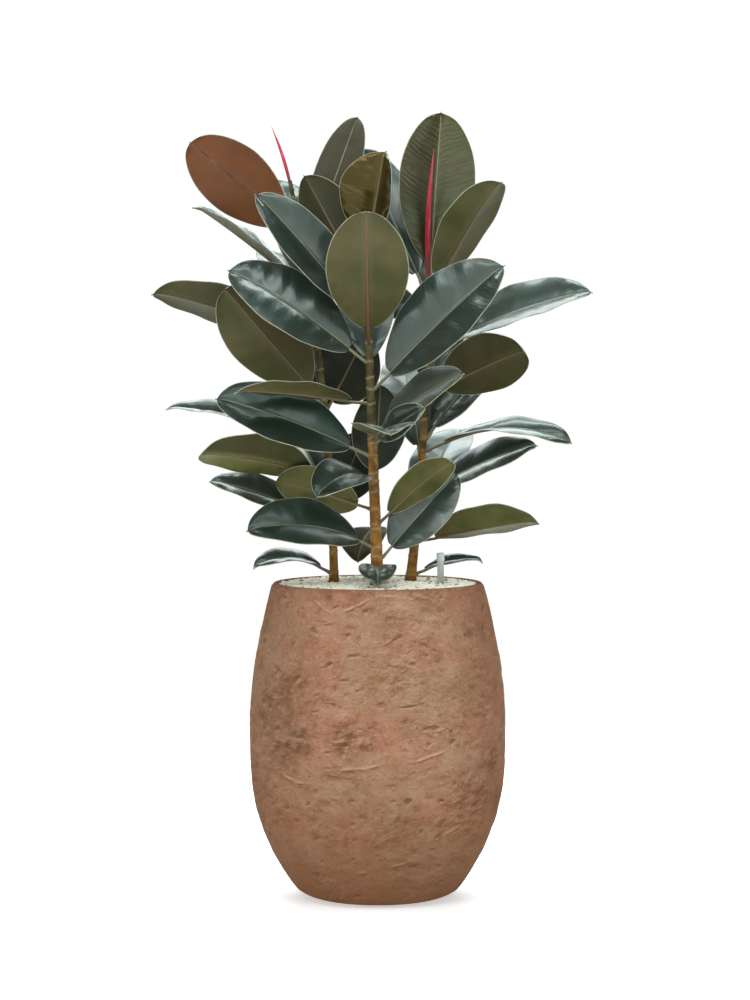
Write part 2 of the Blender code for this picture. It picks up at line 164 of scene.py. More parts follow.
# Leaves at the back, by rule: headings in degrees from +X towards +Y, taken in turn
Hind = namedtuple("Hind", "heights headings")
HIND = {
    "left": Hind((0.57, 0.67, 0.76, 0.85), (126, 114)),
    "middle": Hind((0.75,), (96,)),
    "right": Hind((0.53, 0.62, 0.71), (68, 100)),
}
HIND_LENGTH = 0.235
HIND_WIDTH = 0.088
HIND_RISE = 38
HIND_STEEPENING = 60
HIND_FROM = 0.56

# Fine form of a leaf
BLADE_STEPS = 52
FIRST_ROW = 0.015
ACROSS = (0, 0.07, 0.15, 0.25, 0.36, 0.48, 0.60, 0.72, 0.83, 0.92)
LAST_COLUMN = 0.96
RIM_WIDTH = 0.0010
BLADE_THICKNESS = 0.0010
LEAST_HALF_WIDTH = 0.0004
GROOVE_DEPTH = 0.0007
GROOVE_WIDTH = 0.0026
FOLD_ROUNDING = 0.0030
PUFF = 0.0022
TIP_FROM = 0.90
TIP_DROOP = 0.006

# The drip tip, and the share of the length where the oval before it ends
DRIP_LENGTH = 0.060
DRIP_WIDTH = 0.0032
DRIP_POWER = 0.8
OVAL_END = 1 - 0.25 * DRIP_LENGTH

# Bands across a blade (how fine along and across it, strength) and waves along its edge
BAND_DEPTH = 0.0013
BAND_SLANT = 0.35
BANDS = ((62, 5, 1.0), (130, 9, 0.5))
WAVE_DEPTH = 0.0013
WAVE_LENGTH = 0.075
WAVE_POWER = 1.5

# Midrib and stalk
RIB_SIDES = 10
RIB_STEPS = 40
RIB_END = 0.975
RIB_END_RADIUS = 0.0005
RIB_TAPER = 0.72
RIB_SUNK = 0.0002
STALK_ROOT = 0.0030
STALK_SWELL = 1.25
STALK_TAPER = 0.10
STALK_FLARE = 0.0007
STALK_FLARE_SHARE = 0.012

# Slots of a leaf's materials
OVER, BELOW, RIM, RIB_OVER, RIB_BELOW = range(5)

# Fine form of the stems
BARK_STEP = 0.0022
BARK_SIDES = 36
BARK_GRAIN = 0.00022
BARK_RIDGE = 0.00035

# Rings on the stems: the bulge, the groove above it and the pale mark
NODE_SPACING = 0.021
FIRST_RING = 0.018
LAST_RING = 0.010
RING_REACH = 0.012
RING_LEAN = 0.0016
RING_BULGE = 0.00075
RING_WIDTH = 0.0014
RING_GROOVE = 0.0003
RING_GROOVE_RISE = 0.003
RING_GROOVE_WIDTH = 0.0016
RING_MARK_WIDTH = 0.0013
FULL_RING_RADIUS = 0.005

# Fine form of the sheaths, with the lap where each is rolled up
SHEATH_ROWS = 64
SHEATH_SIDES = 20
SHEATH_ROOT = 0.002
SHEATH_SWELL_FROM = 0.3
SHEATH_END_RADIUS = 0.0004
LAP_DEPTH = 0.16
LAP_TURN = 3.9
LAP_TWIST = 0.8
LAP_WIDTH = 0.35

# Pebbles
PEBBLE_COUNT = 2300
PEBBLE_RADII = (0.0020, 0.0038)
PEBBLE_MARGIN = 0.003
PEBBLE_UNEVENNESS = 0.28
PEBBLE_SUNK = 0.0004
PEBBLE_RISE = 0.0012

# Fine form of the planter
POT_ROWS = 214
POT_COLUMNS = 380
FOOT_ROWS = 14
LIP_STEP = 15
INNER_ROWS = 6
INNER_DEPTH = 0.016
INNER_RELIEF = 0.45
ROW_STEP = 0.0021
COLUMN_STEP = 0.0030

# The pale floor's radius and corners
FLOOR_REACH = 2.2
FLOOR_SIDES = 96

# Lights: name, place, aim, size, watts and colour
COOL = (0.90, 0.99, 0.98)
WHITE = (1, 1, 1)
CROWN = (0, 0, 0.8)
MIDDLE = (0, 0, 0.6)
LIGHTS = (
    ("strip_near", (0.0, -2.40, 2.10), CROWN, (3.0, 0.90), 37, COOL),
    ("strip_front", (0.0, -1.35, 2.70), CROWN, (3.0, 0.35), 16, COOL),
    ("strip_over", (0.0, 0.50, 2.85), CROWN, (3.0, 0.50), 42, COOL),
    ("strip_back", (0.0, 1.90, 2.40), CROWN, (3.2, 1.50), 54, COOL),
    ("key", (-2.1, -2.8, 2.0), MIDDLE, (1.4, 1.4), 17, WHITE),
    ("fill", (2.6, -2.4, 1.5), MIDDLE, (1.0, 1.6), 8, WHITE),
)

# The photograph's view
CAMERA_PLACE = (-0.004, -5.3, 0.859)
CAMERA_LENS = 131.6
CAMERA_SENSOR = 36
CAMERA_DOWN = 3.01


def spaced(low, high, count):
    """Evenly spaced numbers, both ends included."""
    return [low + (high - low) * i / (count - 1) for i in range(count)]


def turns(count):
    """Evenly spaced angles, all the way round."""
    return [math.tau * k / count for k in range(count)]


def smooth(low, high, value):
    """A soft step from 0 at low to 1 at high, whichever of the two is larger."""
    share = min(max((value - low) / (high - low), 0), 1)
    return share * share * (3 - 2 * share)


def bell(offset, width):
    """A bell curve: 1 in the middle, and close to 0 two widths away."""
    return math.exp(-((offset / width) ** 2))


class Graph:
    """A material's nodes, built with short calls."""

    def __init__(self, name, colour, roughness, **values):
        self.material = bpy.data.materials.new(name)
        self.material.use_nodes = True
        self.tree = self.material.node_tree
        self.shader = self.tree.nodes["Principled BSDF"]
        self.feed(self.shader, Base_Color=colour, Roughness=roughness, **values)

    def give(self, socket, value):
        """Link a value's output to an input, or set the input."""
        if isinstance(value, bpy.types.NodeSocket):
            self.tree.links.new(value, socket)
        elif isinstance(value, tuple) and len(value) == 3 and socket.type == "RGBA":
            socket.default_value = (*value, 1)
        else:
            socket.default_value = value

    def feed(self, node, **values):
        """Give a node's inputs their values. An underscore stands for a space in an input's name."""
        for name, value in values.items():
            self.give(node.inputs[name.replace("_", " ")], value)
        return node

    def node(self, kind, **values):
        """A new node."""
        return self.feed(self.tree.nodes.new("ShaderNode" + kind), **values)

    def attribute(self, name):
        """A number kept on the mesh's points."""
        node = self.node("Attribute")
        node.attribute_name = name
        return node.outputs["Fac"]

    def place(self, stretch=(1, 1, 1)):
        """The object's own coordinates, stretched."""
        own = self.node("TexCoord").outputs["Object"]
        return self.node("Mapping", Vector=own, Scale=stretch).outputs["Vector"]

    def combine(self, x, y, z):
        """A vector of three numbers."""
        return self.node("CombineXYZ", X=x, Y=y, Z=z).outputs["Vector"]

    def maths(self, operation, a, b=0.0):
        """One sum."""
        node = self.node("Math")
        node.operation = operation
        self.give(node.inputs[0], a)
        self.give(node.inputs[1], b)
        return node.outputs["Value"]

    def noise(self, vector, scale, detail=3.0, roughness=0.55):
        """Soft noise from 0 to 1."""
        node = self.node("TexNoise", Vector=vector, Scale=scale, Detail=detail, Roughness=roughness)
        return node.outputs["Fac"]

    def between(self, value, low, high):
        """The share of the way from low to high."""
        return self.node("MapRange", Value=value, From_Min=low, From_Max=high).outputs["Result"]

    def scaled(self, value, low, high):
        """A share turned into a number from low to high."""
        return self.node("MapRange", Value=value, To_Min=low, To_Max=high).outputs["Result"]

    def mix(self, share, a, b):
        """A colour between two colours."""
        node = self.node("Mix")
        node.data_type = "RGBA"
        self.give(node.inputs["Factor"], share)
        self.give(node.inputs[6], a)
        self.give(node.inputs[7], b)
        return node.outputs[2]

    def layered(self, colour, layers):
        """A colour under others. Each has a value, where it starts and is full, an amount and a colour."""
        for value, low, high, amount, tone in layers:
            colour = self.mix(self.scaled(self.between(value, low, high), 0.0, amount), colour, tone)
        return colour

    def finish(self, colour, height, distance):
        """Feed the shader's colour, and its normal from a height from 0 to 1."""
        bump = self.node("Bump", Height=height, Distance=distance)
        self.feed(self.shader, Base_Color=colour, Normal=bump.outputs["Normal"])
        return self.material


# Colours of a leaf's upper faces and undersides: main, second and vein colour
TOPS = {
    "mature": ((0.008, 0.022, 0.014), (0.015, 0.019, 0.010), (0.048, 0.070, 0.050)),
    # A darker copy of the mature colours: painted shade for leaves that lie under others
    "shade_darkened": ((0.006, 0.018, 0.010), (0.010, 0.016, 0.008), (0.040, 0.058, 0.040)),
    "dusky": ((0.048, 0.056, 0.034), (0.034, 0.042, 0.025), (0.085, 0.092, 0.058)),
    "golden": ((0.012, 0.008, 0.001), (0.028, 0.022, 0.002), (0.120, 0.080, 0.020)),
    "bronze": ((0.040, 0.048, 0.008), (0.050, 0.036, 0.009), (0.095, 0.092, 0.042)),
    "ashen": ((0.058, 0.050, 0.029), (0.031, 0.029, 0.013), (0.100, 0.088, 0.060)),
}
UNDERS = {
    "olive": ((0.084, 0.073, 0.029), (0.052, 0.054, 0.016), (0.140, 0.122, 0.062)),
    "umber": ((0.054, 0.047, 0.016), (0.038, 0.038, 0.010), (0.100, 0.088, 0.042)),
    "dark": ((0.036, 0.033, 0.011), (0.024, 0.025, 0.007), (0.075, 0.064, 0.032)),
    "shaded": ((0.024, 0.026, 0.012), (0.014, 0.020, 0.010), (0.040, 0.040, 0.020)),
    # A paler copy of the fresh colours: painted light for a leaf whose lower half catches the light
    "lightened": ((0.165, 0.158, 0.060), (0.110, 0.112, 0.030), (0.210, 0.200, 0.090)),
    "fresh": ((0.092, 0.088, 0.026), (0.042, 0.047, 0.008), (0.150, 0.142, 0.056)),
    "copper": ((0.140, 0.048, 0.015), (0.096, 0.038, 0.014), (0.190, 0.078, 0.036)),
}
# Colours of a midrib, above and below
RIBS = {
    "tan": ((0.250, 0.220, 0.130), (0.130, 0.095, 0.042)),
    "red": ((0.250, 0.220, 0.130), (0.185, 0.045, 0.024)),
    "wine": ((0.200, 0.120, 0.080), (0.085, 0.014, 0.010)),
}
RIM_COLOUR = (0.360, 0.350, 0.240)


def gloss(roughness, specular, tint=WHITE, coat=0.0, softness=0.20):
    """Shader values of an upper face."""
    return {"roughness": roughness, "Specular_IOR_Level": specular, "Specular_Tint": tint,
            "Coat_Weight": coat, "Coat_Roughness": softness}


GREENISH = (0.80, 1.0, 0.94)
GLOSS = {
    "mature": gloss(0.38, 0.70, GREENISH, 0.85),
    "shade_darkened": gloss(0.40, 0.45, GREENISH, 0.35),
    "dusky": gloss(0.48, 0.45, coat=0.15, softness=0.25),
    "golden": gloss(0.17, 0.80, (1.0, 0.80, 0.36)),
    "bronze": gloss(0.32, 0.40, (1.0, 0.98, 0.80)),
    "ashen": gloss(0.52, 0.20),
}
VEIN_SPACING = 0.0075
VEIN_SLANT = 0.42
VEIN_WANDER = 0.020
SHADE_DARKNESS = 0.2


def vein_pattern(graph, along, aside, spot):
    """Lateral veins that leave the midrib at an angle: 1 on a vein, 0 half way between two."""
    back = graph.maths("MULTIPLY", graph.maths("ABSOLUTE", aside), VEIN_SLANT)
    slanted = graph.maths("SUBTRACT", along, back)
    wander = graph.scaled(graph.noise(spot, 34.0, 2.0), 0.0, VEIN_WANDER)
    turn = graph.maths("MULTIPLY", graph.maths("ADD", slanted, wander), math.tau / VEIN_SPACING)
    wave = graph.between(graph.maths("COSINE", turn), -1.0, 1.0)
    fading = graph.noise(graph.combine(along, aside, 3.0), 60.0, 2.0)
    return graph.maths("MULTIPLY", wave, graph.between(fading, 0.25, 0.70))


@cache
def blade_material(kind, colours, veins, roughness, **values):
    """One face of a blade: two colours in soft patches, lateral veins and a finer grain."""
    main, second, vein = colours
    graph = Graph(f"{kind}_{veins}".replace(".", "_"), main, roughness, **values)
    along = graph.attribute("along")
    aside = graph.attribute("across")
    spot = graph.combine(along, aside, graph.attribute("seed"))
    pattern = vein_pattern(graph, along, aside, spot)
    colour = graph.mix(graph.between(graph.noise(spot, 14.0), 0.38, 0.66), main, second)
    colour = graph.mix(graph.attribute("shade"), colour, tuple(part * SHADE_DARKNESS for part in second))
    line = graph.maths("MULTIPLY", graph.maths("POWER", pattern, 7.0), 0.20)
    middle = graph.between(graph.maths("ABSOLUTE", aside), 0.010, 0.001)
    amount = graph.maths("ADD", line, graph.maths("MULTIPLY", middle, 0.30))
    worn = graph.scaled(graph.noise(spot, 30.0, 2.0), roughness - 0.05, roughness + 0.07)
    graph.feed(graph.shader, Roughness=worn)
    grain = graph.maths("MULTIPLY", graph.noise(spot, 420.0, 2.0), 0.10)
    height = graph.maths("ADD", graph.maths("MULTIPLY", pattern, 0.8 * veins), grain)
    return graph.finish(graph.mix(amount, colour, vein), height, 0.00016)


@cache
def plain_material(name, colour, second, roughness, scale):
    """A finish of two colours in soft patches."""
    graph = Graph(name, colour, roughness)
    patches = graph.between(graph.noise(graph.place(), scale), 0.35, 0.65)
    graph.feed(graph.shader, Base_Color=graph.mix(patches, colour, second))
    return graph.material


def leaf_materials(row):
    """Top, underside, rim, midrib on top and midrib below."""
    top, under, rib = (row.look[key] for key in ("top", "under", "rib"))
    over, below = RIBS[rib]
    return [
        blade_material("top_" + top, TOPS[top], row.look["veins"], **GLOSS[top]),
        blade_material("under_" + under, UNDERS[under], 0.4, 0.50, Specular_IOR_Level=0.20),
        plain_material("leaf_rim", RIM_COLOUR, (0.22, 0.23, 0.14), 0.45, 60.0),
        plain_material("rib_over_" + rib, over, (0.15, 0.15, 0.08), 0.42, 50.0),
        plain_material("rib_below_" + rib, below, (0.13, 0.09, 0.04), 0.45, 40.0),
    ]


def in_scene(name, data):
    """A new object in the scene."""
    thing = bpy.data.objects.new(name, data)
    bpy.context.scene.collection.objects.link(thing)
    return thing


def mesh_object(name, points, faces, materials, slots=None, numbers=None):
    """A smooth mesh, with a slot for each face and numbers for each point."""
    mesh = bpy.data.meshes.new(name)
    mesh.from_pydata([tuple(p) for p in points], [], faces)
    for one in materials:
        mesh.materials.append(one)
    if slots:
        mesh.polygons.foreach_set("material_index", slots)
    for key, values in (numbers or {}).items():
        kept = mesh.attributes.new(key, "FLOAT", "POINT")
        kept.data.foreach_set("value", values)
    mesh.shade_smooth()
    mesh.update()
    return in_scene(name, mesh)


def grid_faces(rows, columns, first=0, closed=False):
    """Quads between neighbouring rows of points. Closed joins each row's end to its start."""
    faces = []
    for i in range(rows - 1):
        for j in range(columns if closed else columns - 1):
            k = (j + 1) % columns
            low = first + i * columns
            faces.append((low + j, low + k, low + columns + k, low + columns + j))
    return faces


def tube_faces(rows, sides, first=0):
    """Quads round a tube, and a face over each of its ends."""
    last = first + (rows - 1) * sides
    ends = [tuple(reversed(range(first, first + sides))), tuple(range(last, last + sides))]
    return grid_faces(rows, sides, first, closed=True) + ends


def stem_place(stem, height):
    """The middle of a stem at a height."""
    form = STEMS[stem]
    share = (height - STEM_FOOT) / (form.top - STEM_FOOT)
    x, y = (f + l * share + b * share**2 for f, l, b in zip(form.foot, form.lean, form.bend))
    return Vector((x, y, height))


def stem_radius(stem, height):
    """The radius of a stem at a height, with the flare at its foot."""
    form = STEMS[stem]
    share = (height - STEM_FOOT) / (form.top - STEM_FOOT)
    plain = form.foot_radius + (form.top_radius - form.foot_radius) * share
    return plain * (1 + FLARE * math.exp(-(height - STEM_FOOT) / FLARE_HEIGHT))


def across(line, way):
    """The part of a direction that is square to a line, as a unit vector."""
    return (way - line * way.dot(line)).normalized()


def leaf_foot(row):
    """Where a leaf's stalk meets its stem, and the level direction in which it leaves."""
    place = stem_place(row.stem, row.height)
    out = Vector((*(row.tip - place).xy, 0)).normalized()
    return place + out * (stem_radius(row.stem, row.height) + STALK_GAP), out


def leaf_frame(row, share):
    """The midrib's place, its side direction and the upper face's direction at a share of its length."""
    foot, _ = leaf_foot(row)
    chord = row.tip - foot
    line = chord.normalized()
    face = across(line, row.faces)
    front = line.cross(face)
    if front.y > 0:
        front = -front
    place = foot + chord * share + face * row.arch * chord.length * 4 * share * (1 - share)
    tangent = (chord + face * row.arch * chord.length * 4 * (1 - 2 * share)).normalized()
    turn = math.radians(row.twist) * (share - 0.5)
    face = across(tangent, face * math.cos(turn) + front * math.sin(turn))
    return place, tangent.cross(face), face


def half_width(row, share):
    """Half the blade's width, with the short drip tip at its end."""
    inside = min(share / OVAL_END, 1)
    outline = math.sin(math.pi * inside**WIDEST_SHIFT) ** END_ROUNDNESS if inside < 1 else 0
    drip = DRIP_WIDTH * min((1 - share) / DRIP_LENGTH, 1) ** DRIP_POWER * smooth(0.7, 0.9, share)
    wide = row.width / 2 * outline
    return max((wide**3 + drip**3) ** (1 / 3), LEAST_HALF_WIDTH)


def blade_lift(row, share, x, half, length, phases):
    """How far a point of the blade stands above the midrib's plane."""
    edge = abs(x) / half
    run = share * length
    side = 0 if x < 0 else 1
    lift = math.tan(math.radians(row.fold)) * (math.hypot(x, FOLD_ROUNDING) - FOLD_ROUNDING)
    inside = smooth(0.0, 0.30, share) * smooth(1.0, 0.88, share)
    slanted = run - BAND_SLANT * abs(x)
    bands = 0.0
    for (fine, wide, strength), phase in zip(BANDS, phases):
        bands += strength * noise.noise(Vector((slanted * fine, x * wide, phase * 9 + side)))
    depth = BAND_DEPTH * row.look["ripple"]
    lift += depth * bands * smooth(0.0, 0.35, edge) * smooth(1.05, 0.70, edge) * inside
    waves = math.sin(math.tau * run / WAVE_LENGTH + phases[2 + side]) * edge**WAVE_POWER
    lift += WAVE_DEPTH * waves * inside
    lift += PUFF * math.sin(math.pi * edge)
    return lift - TIP_DROOP * (max(share - TIP_FROM, 0) / (1 - TIP_FROM)) ** 2


def column_places(half):
    """Offsets across the blade, from its left edge to its right edge."""
    rim = min(RIM_WIDTH, 0.35 * half)
    right = [part * (half - rim) / ACROSS[-1] * LAST_COLUMN for part in ACROSS[1:]] + [half - rim, half]
    return [-x for x in reversed(right)] + [0] + right


def row_shares():
    """Shares of the blade's length at which its rows of points lie, closest together at its ends."""
    shares = [0.5 - 0.5 * math.cos(math.pi * s) for s in spaced(0.04, 1, BLADE_STEPS)]
    first = shares[0]
    return [(s - first) / (1 - first) * (1 - FIRST_ROW) + FIRST_ROW for s in shares]


def shading(row, x):
    """How shaded the blade is at an offset: only the half whose offsets have the shade's sign is."""
    shade = row.look["shade"]
    return abs(shade) * smooth(-0.002, 0.006, math.copysign(x, x * shade)) if shade else 0.0


def blade_faces(rows, columns):
    """Faces and slots of a blade: its upper face and underside, and the walls round its edge."""
    count = rows * columns
    faces, slots = [], []
    for i in range(rows - 1):
        for j in range(columns - 1):
            a = i * columns + j
            quad = (a, a + 1, a + columns + 1, a + columns)
            rim = j in (0, columns - 2)
            faces += [quad, tuple(count + k for k in reversed(quad))]
            slots += [RIM, RIM] if rim else [OVER, BELOW]
        for j in (0, columns - 1):
            a = i * columns + j
            wall = (a, a + columns, count + a + columns, count + a)
            faces.append(wall if j == 0 else tuple(reversed(wall)))
            slots.append(RIM)
    for i in (0, rows - 1):
        for j in range(columns - 1):
            a = i * columns + j
            wall = (a, count + a, count + a + 1, a + 1)
            faces.append(wall if i == 0 else tuple(reversed(wall)))
            slots.append(RIM)
    return faces, slots


def make_blade(row, phases):
    """Points, faces, slots and numbers of a blade's two faces and its rim."""
    foot, _ = leaf_foot(row)
    length = (row.tip - foot).length
    top, below, along, aside, shades = [], [], [], [], []
    for share in row_shares():
        half = half_width(row, share)
        place, side, face = leaf_frame(row, STALK_SHARE + (1 - STALK_SHARE) * share)
        for x in column_places(half):
            spot = place + side * x + face * blade_lift(row, share, x, half, length, phases)
            thick = BLADE_THICKNESS * (0.5 if abs(x) > half * 0.999 else 1)
            top.append(spot + face * (thick / 2 - GROOVE_DEPTH * bell(x, GROOVE_WIDTH)))
            below.append(spot - face * thick / 2)
            along.append(share * length * (1 - STALK_SHARE))
            aside.append(x)
            shades.append(shading(row, x))
    faces, slots = blade_faces(BLADE_STEPS, 2 * len(ACROSS) + 3)
    return top + below, faces, slots, {"along": along * 2, "across": aside * 2, "shade": shades * 2}


def rib_line(row, phases):
    """Places, radii and side directions of the stalk and the midrib that it runs into."""
    foot, out = leaf_foot(row)
    length = (row.tip - foot).length
    _, side, _ = leaf_frame(row, 0)
    spots = [(foot - out * STALK_ROOT, STALK_RADIUS * STALK_SWELL, side)]
    for share in spaced(0, RIB_END, RIB_STEPS):
        place, side, face = leaf_frame(row, share)
        blade = max(share - STALK_SHARE, 0) / (1 - STALK_SHARE)
        radius = STALK_RADIUS * (1 - STALK_TAPER * smooth(0, STALK_SHARE, share))
        radius = radius * (1 - RIB_TAPER * blade) + STALK_FLARE * math.exp(-share / STALK_FLARE_SHARE)
        radius = max(radius, RIB_END_RADIUS)
        lift = blade_lift(row, blade, 0, row.width, length, phases)
        lift = lift - RIB_SUNK + BLADE_THICKNESS / 2 - radius
        spots.append((place + face * lift * smooth(0, 1.1 * STALK_SHARE, share), radius, side))
    return spots


def make_rib(row, phases, first):
    """Points, faces and slots of the stalk and midrib."""
    spots = rib_line(row, phases)
    points = []
    for i, (place, radius, side) in enumerate(spots):
        ahead = spots[min(i + 1, len(spots) - 1)][0] - spots[max(i - 1, 0)][0]
        side = across(ahead.normalized(), side)
        face = side.cross(ahead.normalized())
        for turn in turns(RIB_SIDES):
            points.append(place + (side * math.cos(turn) + face * math.sin(turn)) * radius)
    ring = [RIB_OVER if k < RIB_SIDES / 2 else RIB_BELOW for k in range(RIB_SIDES)]
    slots = ring * (len(spots) - 1) + [RIB_BELOW, RIB_BELOW]
    return points, tube_faces(len(spots), RIB_SIDES, first), slots


def make_leaf(row, index):
    """One leaf as a piece: blade, rim, stalk and midrib."""
    draw = random.Random(100 + index)
    phases = [draw.uniform(0, math.tau) for _ in range(4)]
    points, faces, slots, numbers = make_blade(row, phases)
    more, more_faces, more_slots = make_rib(row, phases, len(points))
    for values in numbers.values():
        values += [0.0] * len(more)
    points += more
    faces += more_faces
    slots += more_slots
    numbers["seed"] = [0.37 * index] * len(points)
    thing = mesh_object("fine_" + row.name, points, faces, leaf_materials(row), slots, numbers)
    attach(thing, BODY)
    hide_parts(row.name)


def hind_leaves(stem):
    """Rows for the leaves at the back of one stem, which rise more steeply further up."""
    rule = HIND[stem]
    rows = []
    for i, height in enumerate(rule.heights):
        rise = math.radians(HIND_RISE + HIND_STEEPENING * (height - HIND_FROM))
        heading = math.radians(rule.headings[i % len(rule.headings)])
        level = Vector((math.cos(heading), math.sin(heading), 0))
        way = level * math.cos(rise) + UP * math.sin(rise)
        tip = stem_place(stem, height + LIST_LEVEL) + way * HIND_LENGTH - UP * LIST_LEVEL
        rows.append(leaf(height, tip, HIND_WIDTH, UP, arch=0.08))
    return rows


def named_leaves():
    """All leaves, numbered on each stem: first those at the front and sides, then those at the back."""
    front = {"middle": MIDDLE_LEAVES, "left": LEFT_LEAVES, "right": RIGHT_LEAVES}
    groups = [*front.items(), *((stem, hind_leaves(stem)) for stem in STEMS)]
    counts = dict.fromkeys(STEMS, 0)
    named = []
    for stem, rows in groups:
        for row in rows:
            counts[stem] += 1
            named.append(row._replace(stem=stem, name=f"{stem}_leaf_{counts[stem]:02d}"))
    return named


def bark_material():
    """Ochre bark near the gravel, olive further up, with pale rings at the old leaf joints."""
    graph = Graph("bark_fine", (0.25, 0.13, 0.05), 0.62, Specular_IOR_Level=0.15)
    height = graph.attribute("height")
    ring = graph.attribute("ring")
    streaks = graph.noise(graph.place((1, 1, 0.16)), 230.0)
    blotches = graph.noise(graph.place(), 75.0, 4.0)
    ochre = graph.mix(graph.between(blotches, 0.36, 0.62), (0.385, 0.188, 0.038), (0.175, 0.075, 0.018))
    olive = graph.mix(graph.between(blotches, 0.36, 0.64), (0.110, 0.085, 0.032), (0.044, 0.042, 0.017))
    wander = graph.maths("ADD", height, graph.scaled(blotches, -0.06, 0.06))
    colour = graph.mix(graph.between(wander, 0.61, 0.71), ochre, olive)
    colour = graph.layered(colour, [(streaks, 0.52, 0.75, 0.55, (0.10, 0.055, 0.025))])
    colour = graph.mix(graph.maths("MULTIPLY", ring, 0.75), colour, (0.33, 0.27, 0.15))
    return graph.finish(colour, graph.maths("ADD", streaks, blotches), 0.0006)


def ring_heights(stem, joints, draw):
    """Heights of a stem's rings: its leaf joints, and old scars where there is room between them."""
    heights = sorted(joints)
    height = STEM_FOOT + FIRST_RING
    while height < STEMS[stem].top - LAST_RING:
        if min(abs(height - one) for one in heights) > RING_REACH:
            heights.append(height)
        height += NODE_SPACING * draw.uniform(0.75, 1.3)
    return heights


def ring_relief(height, turn, rings):
    """How far the rings stand out at a place on a stem, and how pale they make it."""
    bulge = mark = 0.0
    for middle, tilt in rings:
        offset = height - middle - RING_LEAN * math.cos(turn - tilt)
        if abs(offset) < RING_REACH:
            bulge += RING_BULGE * bell(offset, RING_WIDTH)
            bulge -= RING_GROOVE * bell(offset - RING_GROOVE_RISE, RING_GROOVE_WIDTH)
            mark = max(mark, bell(offset, RING_MARK_WIDTH))
    return bulge, mark


def make_stem(stem, joints, bark):
    """A stem with bark relief and a ring at each leaf joint and old leaf scar."""
    draw = random.Random(stem)
    rings = [(height, draw.uniform(0, math.tau)) for height in ring_heights(stem, joints, draw)]
    top = STEMS[stem].top
    rows = int((top - STEM_FOOT) / BARK_STEP)
    points, heights, marks = [], [], []
    for height in spaced(STEM_FOOT, top, rows):
        middle = stem_place(stem, height)
        radius = stem_radius(stem, height)
        for turn in turns(BARK_SIDES):
            way = Vector((math.cos(turn), math.sin(turn), 0))
            bulge, mark = ring_relief(height, turn, rings)
            grain = noise.fractal((middle + way * radius) * 160, 0.6, 2.0, 3) * BARK_GRAIN
            ridge = noise.noise(Vector((way.x * 4, way.y * 4, height * 30))) * BARK_RIDGE
            relief = bulge * min(1, radius / FULL_RING_RADIUS) + grain + ridge
            points.append(middle + way * (radius + relief))
            heights.append(height)
            marks.append(mark)
    numbers = {"height": heights, "ring": marks}
    faces = tube_faces(rows, BARK_SIDES)
    thing = mesh_object("fine_" + stem + "_stem", points, faces, [bark], numbers=numbers)
    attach(thing, BODY)
    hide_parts(stem + "_stem")


def sheath_material():
    """Crimson, paler along the ridges, and browner at the foot."""
    graph = Graph("sheath_fine", (0.45, 0.03, 0.05), 0.36)
    share = graph.attribute("share")
    fine = graph.noise(graph.place((1, 1, 0.12)), 420.0)
    red = graph.mix(graph.between(fine, 0.35, 0.65), (0.68, 0.050, 0.090), (0.36, 0.015, 0.030))
    foot = graph.between(graph.maths("ADD", share, graph.scaled(fine, -0.1, 0.1)), 0.26, 0.10)
    colour = graph.mix(graph.maths("MULTIPLY", foot, 0.8), red, (0.16, 0.035, 0.022))
    return graph.finish(colour, fine, 0.0003)


def make_sheath(stem, red):
    """The slim pointed sheath on a growing tip, rolled lengthwise."""
    form = SHEATHS[stem]
    foot = stem_place(stem, STEMS[stem].top) - UP * SHEATH_ROOT
    way = Vector(form.tip) - foot
    side = across(way.normalized(), Vector((1, 0, 0)))
    face = way.normalized().cross(side)
    points, shares = [], []
    for share in spaced(0, 1, SHEATH_ROWS):
        part = min(SHEATH_SWELL_FROM + (1 - SHEATH_SWELL_FROM) * share, 0.9999)
        swell = math.sin(math.pi * part) ** 0.8
        middle = foot + way * share + Vector((form.bow * math.sin(math.pi * share), 0, 0))
        for turn in turns(SHEATH_SIDES):
            lap = 1 - LAP_DEPTH * bell(turn - LAP_TURN - LAP_TWIST * share, LAP_WIDTH)
            radius = max(form.radius * swell * lap, SHEATH_END_RADIUS)
            points.append(middle + (side * math.cos(turn) + face * math.sin(turn)) * radius)
            shares.append(share)
    faces = tube_faces(SHEATH_ROWS, SHEATH_SIDES)
    thing = mesh_object("fine_" + stem + "_sheath", points, faces, [red], numbers={"share": shares})
    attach(thing, BODY)
    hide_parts(stem + "_sheath")


def pot_radius(height):
    """Outer radius of the planter at a height."""
    if height > POT_WIDEST_HEIGHT:
        share = (height - POT_WIDEST_HEIGHT) / (POT_HEIGHT - POT_WIDEST_HEIGHT)
        return POT_WIDEST_RADIUS * (1 - RIM_NARROWING * share**2)
    share = (POT_WIDEST_HEIGHT - height) / FOOT_SPAN
    side = POT_WIDEST_RADIUS * (1 - FOOT_NARROWING * share**FOOT_POWER)
    below = max(1 - height / FOOT_ROUND_HEIGHT, 0)
    return side - FOOT_ROUND * (1 - math.sqrt(1 - below**2))


